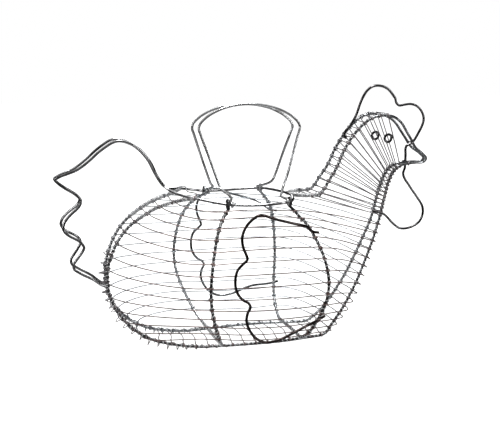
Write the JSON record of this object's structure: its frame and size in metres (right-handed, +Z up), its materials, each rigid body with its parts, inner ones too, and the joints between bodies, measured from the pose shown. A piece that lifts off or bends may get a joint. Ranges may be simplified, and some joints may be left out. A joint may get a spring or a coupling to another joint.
{
  "type": "hen-shaped wire egg basket",
  "caption": "Hen-shaped chrome wire basket with an open top, wire wings, comb, wattle and zigzag tail, and a pair of bail handles that fold outwards on the rim.",
  "frame": {"origin": "centre of the whole basket's box, on the table it stands on", "axes": "+X towards the beak, +Y to the hen's left, +Z up"},
  "size_m": [0.3518, 0.1674, 0.2313],
  "materials": {
    "frame_wire": "bright chrome plate",
    "trim_wire": "bright chrome plate",
    "handle_wire": "bright chrome plate",
    "eye_wire": "bright chrome plate, wound tight",
    "woven_wire": "bright chrome plate, thin drawn wire"
  },
  "bodies": {
    "basket": {"rim_and_tail_wire": "frame_wire", "outline_wire_right": "frame_wire", "outline_wire_left": "frame_wire", "hoop_rear": "frame_wire", "hoop_front": "frame_wire", "wing_right": "trim_wire", "wing_left": "trim_wire", "comb_and_wattle_wire": "trim_wire", "eye_right": "eye_wire", "eye_left": "eye_wire", "base_bars": "woven_wire", "rim_stay": "frame_wire", "comb_ties": "frame_wire", "body_row_1": "woven_wire", "body_row_2": "woven_wire", "body_row_3": "woven_wire", "body_row_4": "woven_wire", "body_row_5": "woven_wire", "body_row_6": "woven_wire", "body_row_7": "woven_wire", "body_row_8": "woven_wire", "body_row_9": "woven_wire", "body_row_10": "woven_wire", "body_row_11": "woven_wire", "body_row_12": "woven_wire", "body_row_13": "woven_wire", "body_row_14": "woven_wire", "neck_row_1": "woven_wire", "neck_row_2": "woven_wire", "neck_row_3": "woven_wire", "neck_row_4": "woven_wire", "neck_row_5": "woven_wire", "neck_row_6": "woven_wire", "neck_row_7": "woven_wire", "neck_row_8": "woven_wire", "neck_row_9": "woven_wire", "neck_row_10": "woven_wire", "neck_row_11": "woven_wire", "neck_row_12": "woven_wire", "neck_row_13": "woven_wire", "neck_row_14": "woven_wire", "neck_row_15": "woven_wire"},
    "handle_right": {"handle_right": "handle_wire"},
    "handle_left": {"handle_left": "handle_wire"}
  },
  "joints": [
    {"name": "handle_right_swing", "type": "hinge", "parent": "basket", "child": "handle_right", "pos_m": [-0.0045, -0.041, 0.13215], "axis": [1, 0, 0], "range_deg": [0, 165]},
    {"name": "handle_left_swing", "type": "hinge", "parent": "basket", "child": "handle_left", "pos_m": [-0.0045, 0.041, 0.13215], "axis": [-1, 0, 0], "range_deg": [0, 165]}
  ]
}
